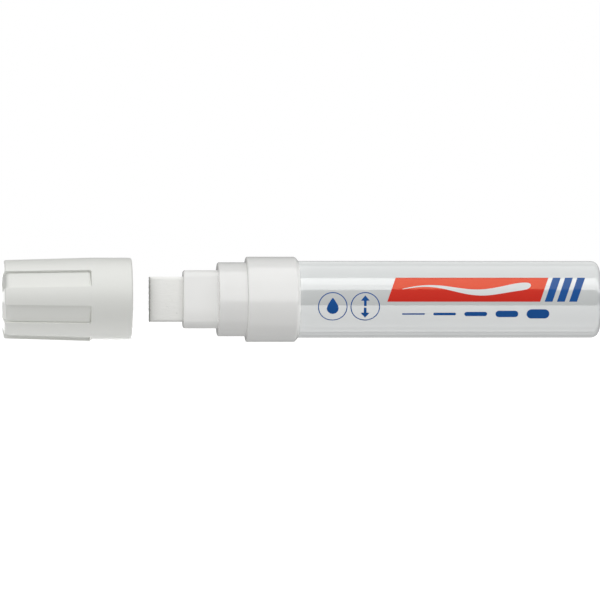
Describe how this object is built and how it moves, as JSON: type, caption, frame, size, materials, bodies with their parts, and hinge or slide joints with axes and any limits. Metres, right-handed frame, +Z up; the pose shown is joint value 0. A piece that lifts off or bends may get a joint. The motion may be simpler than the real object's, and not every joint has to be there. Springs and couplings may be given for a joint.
{
  "type": "liquid chalk marker",
  "caption": "Broad valve-action liquid chalk marker lying on its side, cap pulled off in line: glossy white barrel, collar, flat fibre nib and round cap with sunk flat panels",
  "frame": {"origin": "On the table, under the middle of the whole length from the closed end of the cap to the rear end of the barrel, under the axis", "axes": "+X runs along the axis from the nib to the rear of the barrel, -Y is the side that the broad face of the nib and the print look to, +Z is up"},
  "size_m": [0.2, 0.0284, 0.0283],
  "materials": {
    "barrel_plastic": "smooth glossy white moulding",
    "front_plastic": "satin natural white polypropylene moulding",
    "cap_plastic": "satin natural white polypropylene moulding",
    "liner_plastic": "satin natural white polypropylene moulding",
    "valve_plastic": "satin natural white polypropylene moulding",
    "nib_fibre": "bonded white polyester fibre, fuzzy at the writing edge",
    "seal_rubber": "matt moulded rubber",
    "spring_steel": "drawn stainless spring wire",
    "ball_steel": "polished steel ball"
  },
  "bodies": {
    "marker": {"barrel": "barrel_plastic", "front_sleeve": "front_plastic", "collar": "front_plastic", "nib_holder": "front_plastic", "valve_seat": "valve_plastic", "spring_cage": "valve_plastic", "mouth_gasket": "seal_rubber", "valve_spring": "spring_steel"},
    "nib_unit": {"nib": "nib_fibre", "nib_carrier": "valve_plastic", "valve_stem": "valve_plastic", "valve_seal": "seal_rubber"},
    "cap": {"cap_shell": "cap_plastic", "cap_liner": "liner_plastic"},
    "ball_a": {"mixing_ball_a": "ball_steel"},
    "ball_b": {"mixing_ball_b": "ball_steel"}
  },
  "joints": [
    {"name": "cap_slide", "type": "slide", "parent": "marker", "child": "cap", "axis": [1, 0, 0], "range_m": [0, 0.0379]},
    {"name": "nib_press", "type": "slide", "parent": "marker", "child": "nib_unit", "axis": [1, 0, 0], "range_m": [0, 0.003], "stiffness_N_per_m": 700, "springref_m": -0.003, "deforming": ["valve_spring"]},
    {"name": "ball_a_roll", "type": "slide", "parent": "marker", "child": "ball_a", "axis": [1, 0, 0], "range_m": [-0.0348, 0.0549]},
    {"name": "ball_b_roll", "type": "slide", "parent": "marker", "child": "ball_b", "axis": [1, 0, 0], "range_m": [-0.0348, 0.0549]}
  ]
}
